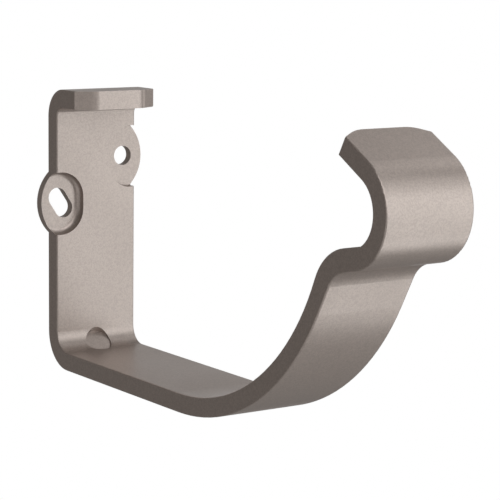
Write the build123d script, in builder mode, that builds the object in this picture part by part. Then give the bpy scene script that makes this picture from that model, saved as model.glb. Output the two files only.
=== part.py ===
from build123d import *
from math import acos, cos, degrees, radians, sin, sqrt
import os

os.makedirs("parts", exist_ok=True)

# Gutter bracket, cast as one bent strip: a wall plate with two offset screw lugs, a base that the
# gutter lies on, a long front curve, and a hook that holds the gutter's front bead.
# Millimetres. +X points out from the wall, Y runs along the gutter, +Z is up.
# The origin is on the wall face, midway between the two screws.

# Strip
strip_width = 25.0
thickness = 5.0
overall_height = 78.1
edge_radius = 0.4

# Wall plate, its top lip and its bottom bend
lip_reach = 17.9
lip_bend_radius = 2.8
bottom_bend_radius = 5.0
pocket_radius = 3.8
pocket_depth = 0.35

# Base and front curve, measured on the upper face
base_reach = 68.2
curve_radius = 62.6
curve_turn = 67.0

# Shoulder, bead seat and hook
shoulder_radius = 14.2
seat_angle = 11.0
seat_length = 6.55
seat_step = 0.45
hook_radius = 8.5
tip_angle = 151.0
tip_length = 12.1

# Trimmed corners at the strip's two free ends
corner_angle = 30.0
lip_flat = 12.8
lip_corner_radius = 4.0
tip_flat = 11.6
tip_corner_radius = 8.5

# Screw lugs, one low on the near side and one high on the far side
screw_level = 52.3
screw_rise = 12.2
screw_offset = 10.0
screw_hole = 5.5
slot_travel = 3.6
slot_angle = -56.6
lug_radius = 11.8
lug_offset = 4.2
lug_thickness = 2.6
recess_radius = 7.05
recess_offset = 11.1
recess_travel = 3.4
near_recess_fillet = 1.6
far_recess_fillet = 0.6

# Levels and angles that follow from the sizes
underside = -screw_level
top = underside + overall_height
upper_face = underside + thickness

# The hook's circle dips below the seat by the step, so its arc starts steeper than the seat does.
kick = degrees(acos((hook_radius - seat_step) / hook_radius))
hook_run = seat_length - hook_radius * sin(radians(kick))

# The lower face joins the front curve to the shoulder along the tangent common to both arcs.
under_curve_radius = curve_radius + thickness
under_shoulder_radius = shoulder_radius - thickness - seat_step
centre_distance = curve_radius + shoulder_radius
radius_sum = under_curve_radius + under_shoulder_radius
flank_length = sqrt(centre_distance**2 - radius_sum**2)
flank_angle = curve_turn - degrees(acos(radius_sum / centre_distance))


with BuildPart() as gutter_bracket:
    # Side profile of the strip
    with BuildSketch(Plane.XZ):
        with BuildLine():
            # Faces that the gutter touches, from the lip's underside to the inside of the hook
            lip_below = Line((lip_reach, top - thickness), (thickness + lip_bend_radius, top - thickness))
            lip_inside = JernArc(lip_below @ 1, lip_below % 1, lip_bend_radius, 90)
            plate_front = Line(lip_inside @ 1, (thickness, upper_face + bottom_bend_radius))
            bend_inside = JernArc(plate_front @ 1, plate_front % 1, bottom_bend_radius, 90)
            base_top = Line(bend_inside @ 1, (base_reach, upper_face))
            curve_inside = JernArc(base_top @ 1, base_top % 1, curve_radius, curve_turn)
            shoulder = JernArc(curve_inside @ 1, curve_inside % 1, shoulder_radius, seat_angle - curve_turn)
            seat = PolarLine(shoulder @ 1, seat_length, seat_angle)
            hook_start = seat_angle + kick
            hook_direction = (cos(radians(hook_start)), sin(radians(hook_start)))
            hook_inside = JernArc(seat @ 1, hook_direction, hook_radius, tip_angle - hook_start)
            tip_inside = PolarLine(hook_inside @ 1, tip_length, tip_angle)

            # Outer faces, from the lip's top to the outside of the hook
            lip_top = Line((lip_reach, top), (thickness + lip_bend_radius, top))
            lip_outside = JernArc(lip_top @ 1, lip_top % 1, lip_bend_radius + thickness, 90)
            plate_back = Line(lip_outside @ 1, (0, upper_face + bottom_bend_radius))
            bend_outside = JernArc(plate_back @ 1, plate_back % 1, bottom_bend_radius + thickness, 90)
            base_below = Line(bend_outside @ 1, (base_reach, underside))
            curve_outside = JernArc(base_below @ 1, base_below % 1, under_curve_radius, flank_angle)
            flank = PolarLine(curve_outside @ 1, flank_length, flank_angle)
            throat = JernArc(flank @ 1, flank % 1, under_shoulder_radius, seat_angle - flank_angle)
            hook_below = PolarLine(throat @ 1, hook_run, seat_angle)
            hook_turn = tip_angle - seat_angle
            hook_outside = JernArc(hook_below @ 1, hook_below % 1, hook_radius + thickness, hook_turn)
            tip_outside = PolarLine(hook_outside @ 1, tip_length, tip_angle)

            # Ends of the strip
            Line(lip_below @ 0, lip_top @ 0)
            Line(tip_inside @ 1, tip_outside @ 1)
        make_face()
    extrude(amount=strip_width / 2, both=True)

    # Softened edges along both sides
    fillet(gutter_bracket.faces().filter_by(Axis.Y).edges(), edge_radius)

    # Each free end is trimmed to a flat between two turned corners.
    tip_corner = tip_outside @ 1
    tip_forward = tip_outside % 1
    lip_end = Plane(origin=(lip_reach, 0, top), x_dir=(1, 0, 0), z_dir=(0, 0, 1))
    tip_end = Plane(
        origin=(tip_corner.X, 0, tip_corner.Y),
        x_dir=(tip_forward.X, 0, tip_forward.Y),
        z_dir=(tip_forward.Y, 0, -tip_forward.X),
    )
    ends = (
        (lip_end, lip_flat / 2, lip_corner_radius),
        (tip_end, tip_flat / 2, tip_corner_radius),
    )
    for end, half_flat, corner_radius in ends:
        with BuildSketch(end):
            with BuildLine():
                turn = JernArc((0, half_flat), (0, 1), corner_radius, corner_angle)
                cut = PolarLine(turn @ 1, strip_width, 90 + corner_angle)
                Polyline(cut @ 1, (thickness, strip_width), (thickness, half_flat), (0, half_flat))
            make_face()
            mirror(about=Plane.XZ)
        extrude(amount=-thickness, mode=Mode.SUBTRACT)

    # Shallow round pocket, sunk square into the middle of the bottom bend
    bend_middle = bottom_bend_radius * (1 - cos(radians(45)))
    bend_surface = Plane(
        origin=(thickness + bend_middle, 0, upper_face + bend_middle),
        x_dir=(0, 1, 0),
        z_dir=(1, 0, 1),
    )
    with BuildSketch(bend_surface.offset(-pocket_depth)):
        Circle(pocket_radius)
    extrude(amount=pocket_depth + bottom_bend_radius, mode=Mode.SUBTRACT)

    # The two lugs stand out past opposite sides of the plate, flush with the wall face.
    for side, recess_fillet in ((-1, near_recess_fillet), (1, far_recess_fillet)):
        level = side * screw_rise / 2
        with BuildSketch(Plane.YZ):
            with Locations((side * lug_offset, level)):
                Circle(lug_radius)
        extrude(amount=lug_thickness)

        # Dished recess that lets the screw's head sit on the lug
        with BuildSketch(Plane.YZ.offset(lug_thickness)):
            with Locations((side * recess_offset, level)):
                SlotCenterToCenter(recess_travel, 2 * recess_radius, rotation=90)
        extrude(amount=thickness, mode=Mode.SUBTRACT)
        floor_edges = gutter_bracket.edges(Select.LAST).filter_by_position(Axis.X, lug_thickness, lug_thickness)
        wall_edges = floor_edges.filter_by_position(Axis.Y, -strip_width / 2, strip_width / 2)
        fillet(wall_edges, recess_fillet)

    # Round hole in the far lug, slanted slot in the near one
    with BuildSketch(Plane.YZ):
        with Locations((screw_offset, screw_rise / 2)):
            Circle(screw_hole / 2)
        with Locations((-screw_offset, -screw_rise / 2)):
            SlotCenterToCenter(slot_travel, screw_hole, rotation=slot_angle)
    extrude(amount=lug_thickness, mode=Mode.SUBTRACT)

gutter_bracket.part.label = "gutter_bracket"
export_step(gutter_bracket.part, "parts/gutter_bracket.step")
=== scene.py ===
import math

import bpy
from mathutils import Matrix, Vector


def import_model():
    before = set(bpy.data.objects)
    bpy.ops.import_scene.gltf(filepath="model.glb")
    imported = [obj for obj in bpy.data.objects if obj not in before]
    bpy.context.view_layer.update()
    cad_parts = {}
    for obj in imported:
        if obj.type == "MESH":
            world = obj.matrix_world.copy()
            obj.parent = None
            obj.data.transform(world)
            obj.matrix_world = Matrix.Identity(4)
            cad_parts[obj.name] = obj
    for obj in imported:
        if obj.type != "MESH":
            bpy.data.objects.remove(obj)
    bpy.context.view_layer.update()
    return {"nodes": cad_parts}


# The scene stands in the part's own frame, in metres: +X points out from the wall, Y runs along the gutter
# and +Z is up. Angles are in degrees: azimuths turn from +X towards +Y, and elevations rise from level.

# The camera stands on the hook's side and looks back at the wall plate, a little downwards.
CAMERA_PLACE = (0.49216, -0.28176, 0.06812)
CAMERA_AZIMUTH = 145.536
CAMERA_ELEVATION = -8.863
CAMERA_ROLL = 0.732
CAMERA_LENS = 145.24
SENSOR_WIDTH = 36.0
CLIP_START = 0.01

# Paint: a satin taupe powder coat with fine metallic flakes.
PAINT_COLOR = (0.432, 0.373, 0.340, 1.0)
PAINT_SHADE = (0.416, 0.358, 0.326, 1.0)
METALLIC = 0.65
FLAKE_SIZE = 0.00032
FLAKE_CONTRAST = 0.08

# Patterns of noise, each with its size and its detail in octaves
CLOUDS = (0.018, 3.0)
MOTTLE = (0.0012, 2.0)
RUB = (0.004, 3.0)
PEEL = (0.0016, 1.0)
GRAIN = (0.0004, 2.0)

# The clouds and the mottle, mixed by these shares, turn the colour from shade to full over this range.
CLOUD_SHARE = 0.6
MOTTLE_SHARE = 0.4
SHADE_RANGE = (0.3, 0.7)

# Roughness rises over this range of the clouds. The mottle adds to it, and wear takes some away.
ROUGHNESS_RANGE = (0.25, 0.75)
ROUGHNESS = (0.31, 0.36)
MOTTLE_ROUGHNESS = 0.03
WORN_POLISH = 0.06

# Height of the bump in metres
PEEL_HEIGHT = 0.0000025
GRAIN_HEIGHT = 0.0000015

# Wear on turned edges, whose lighter colour is also a painted highlight along them. The turn is the cosine
# between the true normal and the softened one, where wear starts and where it is full, and the rub makes it
# patchy.
WORN_AND_HIGHLIGHT_COLOR = (0.55, 0.49, 0.45, 1.0)
WEAR_AND_HIGHLIGHT = 0.36
WEAR_WIDTH = 0.0006
WEAR_SAMPLES = 6
WEAR_TURN = (0.995, 0.86)
RUB_RANGE = (0.35, 0.62)
RUB_SHARE = (0.25, 1.0)

# Studio: each softbox has its name, azimuth, elevation, width, height and power in watts. All stand at one
# distance from the bracket's middle and face it.
WORLD_STRENGTH = 0.2
WORLD_COLOR = (1.0, 0.945, 0.905, 1.0)
KEY_COLOR = (0.96, 0.99, 1.0)
LAMP_TARGET = (0.075, 0.0, -0.015)
LAMP_DISTANCE = 0.6
SOFTBOXES = (
    ("key", 37, -3, 0.24, 0.70, 1.08),
    ("key_head", 44, 35, 0.20, 0.20, 0.14),
    ("key_foot", 52, -42, 0.22, 0.22, 0.32),
    ("key_crown", 62, 50, 0.20, 0.20, 0.028),
    ("front", 0, 22, 0.50, 0.55, 0.98),
    ("front_high", 0, 45, 0.50, 0.50, 0.55),
    ("side", 80, -5, 0.26, 0.26, 0.235),
    ("side_high", 90, 45, 0.26, 0.26, 0.14),
    ("fill", 215, -5, 0.50, 0.50, 0.06),
    ("back", 140, 10, 0.40, 0.30, 0.13),
    ("top", 100, 60, 0.40, 0.40, 0.12),
)

# Floor, far below the bracket. A wedge of it shows white where the camera looks, and another shows the
# floor's own colour on the camera's side of the bracket, which a view from behind looks towards. The rest is
# as dim as the light on it, because the bracket's near side and underside mirror it. A wedge starts within
# a range of metres ahead and ends within a range of sideways shares of the way ahead.
FLOOR_LEVEL = -0.55
FLOOR_SIZE = 120.0
FLOOR_COLOR = (0.80, 0.79, 0.78, 1.0)
WHITE = (1.0, 1.0, 1.0, 1.0)
WHITE_START = (1.6, 2.0)
WHITE_SIDE = (0.17, 0.34)
PALE_PLACE = (0.0, 0.0)
PALE_AZIMUTH = -56
PALE_START = (0.1, 0.5)
PALE_SIDE = (0.50, 0.66)
LEAST_AHEAD = 0.01


def direction(azimuth, elevation=0.0):
    turn, rise = math.radians(azimuth), math.radians(elevation)
    return Vector((math.cos(rise) * math.cos(turn), math.cos(rise) * math.sin(turn), math.sin(rise)))


class Tree:
    """Adds shader nodes and links to one material, so that each step of a pattern is one line."""

    def __init__(self, name):
        self.material = bpy.data.materials.new(name)
        self.material.use_nodes = True
        self.nodes = self.material.node_tree.nodes
        self.links = self.material.node_tree.links
        self.shader = self.nodes["Principled BSDF"]
        self.output = self.nodes["Material Output"]

    def put(self, socket, value):
        if isinstance(value, bpy.types.NodeSocket):
            self.links.new(value, socket)
        else:
            socket.default_value = value

    def add(self, kind, settings=(), **inputs):
        node = self.nodes.new(kind)
        for key, value in dict(settings).items():
            setattr(node, key, value)
        for key, value in inputs.items():
            self.put(node.inputs[key.replace("_", " ")], value)
        return node

    def combine(self, kind, operation, *values):
        node = self.nodes.new(kind)
        node.operation = operation
        for socket, value in zip(node.inputs, values):
            self.put(socket, value)
        return node

    def math(self, operation, *values):
        return self.combine("ShaderNodeMath", operation, *values).outputs["Value"]

    def dot(self, first, second):
        return self.combine("ShaderNodeVectorMath", "DOT_PRODUCT", first, second).outputs["Value"]

    def scale(self, vector, factor):
        node = self.add("ShaderNodeVectorMath", {"operation": "SCALE"}, Vector=vector, Scale=factor)
        return node.outputs["Vector"]

    def noise(self, place, size, detail):
        return self.add("ShaderNodeTexNoise", Vector=place, Scale=1 / size, Detail=detail).outputs[0]

    def mix(self, share, first, second):
        node = self.add("ShaderNodeMix", {"data_type": "RGBA"}, Factor=share)
        colours = [socket for socket in node.inputs if socket.type == "RGBA"]
        for socket, value in zip(colours, (first, second)):
            self.put(socket, value)
        return next(socket for socket in node.outputs if socket.type == "RGBA")

    def spread(self, value, source, target=(0.0, 1.0)):
        """The value, turned smoothly from the source range into the target range and kept within it."""
        node = self.add("ShaderNodeMapRange", {"interpolation_type": "SMOOTHSTEP"})
        for socket, item in zip(node.inputs, (value, *source, *target)):
            self.put(socket, item)
        return node.outputs[0]


def edge_wear_and_highlight(tree, place):
    """The wear along turned edges, which also paints a highlight there: a softened normal differs from the
    true one only along turned edges.
    """
    bevel = tree.add("ShaderNodeBevel", {"samples": WEAR_SAMPLES}, Radius=WEAR_WIDTH)
    geometry = tree.add("ShaderNodeNewGeometry")
    facing = tree.dot(bevel.outputs["Normal"], geometry.outputs["Normal"])
    rub = tree.spread(tree.noise(place, *RUB), RUB_RANGE, RUB_SHARE)
    turned = tree.math("MULTIPLY", tree.spread(facing, WEAR_TURN), rub)
    return tree.math("MULTIPLY", turned, WEAR_AND_HIGHLIGHT)


def paint():
    """Satin metallic powder coat: taupe, with a faint orange peel and a fine sparkle of flakes."""
    tree = Tree("taupe_paint")
    place = tree.add("ShaderNodeTexCoord").outputs["Object"]
    clouds = tree.noise(place, *CLOUDS)
    mottle = tree.noise(place, *MOTTLE)
    wear_and_highlight = edge_wear_and_highlight(tree, place)

    # Broad clouds and a fine mottle shift the colour a little; every flake has its own brightness.
    clouded = tree.math("MULTIPLY", clouds, CLOUD_SHARE)
    shade = tree.math("ADD", clouded, tree.math("MULTIPLY", mottle, MOTTLE_SHARE))
    color = tree.mix(tree.spread(shade, SHADE_RANGE), PAINT_SHADE, PAINT_COLOR)
    cells = tree.add("ShaderNodeTexVoronoi", Vector=place, Scale=1 / FLAKE_SIZE)
    flake = tree.add("ShaderNodeSeparateColor", Color=cells.outputs["Color"]).outputs["Red"]
    glint = tree.spread(flake, (0.0, 1.0), (1 - FLAKE_CONTRAST, 1 + FLAKE_CONTRAST))
    # Lighter wear on turned edges, partly a painted highlight along them
    color = tree.mix(wear_and_highlight, tree.scale(color, glint), WORN_AND_HIGHLIGHT_COLOR)

    # The sheen varies with the clouds and the mottle, and is a little glossier where the paint is rubbed.
    rough = tree.spread(clouds, ROUGHNESS_RANGE, ROUGHNESS)
    rough = tree.math("ADD", rough, tree.math("MULTIPLY", mottle, MOTTLE_ROUGHNESS))
    rough = tree.math("SUBTRACT", rough, tree.math("MULTIPLY", wear_and_highlight, WORN_POLISH))

    # Orange peel with a finer grain on it
    peel = tree.math("MULTIPLY", tree.noise(place, *PEEL), PEEL_HEIGHT)
    grain = tree.math("MULTIPLY", tree.noise(place, *GRAIN), GRAIN_HEIGHT)
    height = tree.math("ADD", peel, grain)
    bump = tree.add("ShaderNodeBump", Strength=1.0, Distance=1.0, Height=height)

    tree.put(tree.shader.inputs["Base Color"], color)
    tree.put(tree.shader.inputs["Metallic"], METALLIC)
    tree.put(tree.shader.inputs["Roughness"], rough)
    tree.put(tree.shader.inputs["Normal"], bump.outputs["Normal"])
    return tree.material


def wedge(tree, place, origin, azimuth, start, side):
    """1 on the floor ahead of the origin, past the start and between the sides, and 0 elsewhere."""
    ahead = direction(azimuth)
    out_x = tree.math("SUBTRACT", place.outputs["X"], origin[0])
    out_y = tree.math("SUBTRACT", place.outputs["Y"], origin[1])
    along_x = tree.math("MULTIPLY", out_x, ahead.x)
    along_y = tree.math("MULTIPLY", out_y, ahead.y)
    across_x = tree.math("MULTIPLY", out_x, -ahead.y)
    across_y = tree.math("MULTIPLY", out_y, ahead.x)
    along = tree.math("ADD", along_x, along_y)
    across = tree.math("ABSOLUTE", tree.math("ADD", across_x, across_y))
    share = tree.math("DIVIDE", across, tree.math("MAXIMUM", along, LEAST_AHEAD))
    return tree.math("MULTIPLY", tree.spread(along, start), tree.spread(share, side, (1.0, 0.0)))


def floor_paint():
    """Pale diffuse floor. Only rays that see it, not those that carry its light, find the wedges glowing."""
    tree = Tree("floor")
    position = tree.add("ShaderNodeNewGeometry").outputs["Position"]
    place = tree.add("ShaderNodeSeparateXYZ", Vector=position)
    white = wedge(tree, place, CAMERA_PLACE, CAMERA_AZIMUTH, WHITE_START, WHITE_SIDE)
    pale = wedge(tree, place, PALE_PLACE, PALE_AZIMUTH, PALE_START, PALE_SIDE)
    rays = tree.add("ShaderNodeLightPath").outputs
    seen = tree.math("MAXIMUM", rays["Is Camera Ray"], rays["Is Glossy Ray"])
    seen = tree.math("MAXIMUM", seen, rays["Is Transmission Ray"])
    share = tree.math("MULTIPLY", seen, tree.math("MAXIMUM", white, pale))
    glow = tree.add("ShaderNodeEmission", Color=tree.mix(white, FLOOR_COLOR, WHITE), Strength=1.0)
    diffuse = tree.add("ShaderNodeBsdfDiffuse", Color=FLOOR_COLOR)
    mix = tree.add("ShaderNodeMixShader", Fac=share)
    tree.put(mix.inputs[1], diffuse.outputs["BSDF"])
    tree.put(mix.inputs[2], glow.outputs["Emission"])
    tree.put(tree.output.inputs["Surface"], mix.outputs["Shader"])
    return tree.material


def build_floor():
    mesh = bpy.data.meshes.new("floor")
    half = FLOOR_SIZE / 2
    corners = [(-half, -half, 0), (half, -half, 0), (half, half, 0), (-half, half, 0)]
    mesh.from_pydata(corners, [], [(0, 1, 2, 3)])
    mesh.materials.append(floor_paint())
    floor = bpy.data.objects.new("floor", mesh)
    floor.location = (0, 0, FLOOR_LEVEL)
    bpy.context.scene.collection.objects.link(floor)


def build_lamps():
    for name, azimuth, elevation, width, height, power in SOFTBOXES:
        way = direction(azimuth, elevation)
        data = bpy.data.lights.new(name, "AREA")
        data.shape = "RECTANGLE"
        data.size = width
        data.size_y = height
        data.energy = power
        if name.startswith("key"):
            data.color = KEY_COLOR
        lamp = bpy.data.objects.new(name, data)
        lamp.location = Vector(LAMP_TARGET) + way * LAMP_DISTANCE
        lamp.rotation_euler = way.to_track_quat("Z", "Y").to_euler()
        lamp.visible_camera = False
        bpy.context.scene.collection.objects.link(lamp)


def build_camera():
    data = bpy.data.cameras.new("camera")
    data.sensor_width = SENSOR_WIDTH
    data.lens = CAMERA_LENS
    data.clip_start = CLIP_START
    data.clip_end = FLOOR_SIZE
    camera = bpy.data.objects.new("camera", data)
    # A camera without a turn looks straight down, with +Y at the top of its picture.
    camera.matrix_world = (
        Matrix.Translation(CAMERA_PLACE)
        @ Matrix.Rotation(math.radians(CAMERA_AZIMUTH - 90), 4, "Z")
        @ Matrix.Rotation(math.radians(CAMERA_ELEVATION + 90), 4, "X")
        @ Matrix.Rotation(math.radians(CAMERA_ROLL), 4, "Z")
    )
    bpy.context.scene.collection.objects.link(camera)
    bpy.context.scene.camera = camera


def build_world():
    world = bpy.data.worlds.new("studio")
    world.use_nodes = True
    background = world.node_tree.nodes["Background"]
    background.inputs["Color"].default_value = WORLD_COLOR
    background.inputs["Strength"].default_value = WORLD_STRENGTH
    bpy.context.scene.world = world


def main():
    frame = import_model()
    bracket = frame["nodes"]["gutter_bracket"]
    material = paint()
    for slot in bracket.material_slots:
        slot.material = material
    build_floor()
    build_lamps()
    build_camera()
    build_world()
    bpy.context.scene.view_settings.view_transform = "Standard"


main()
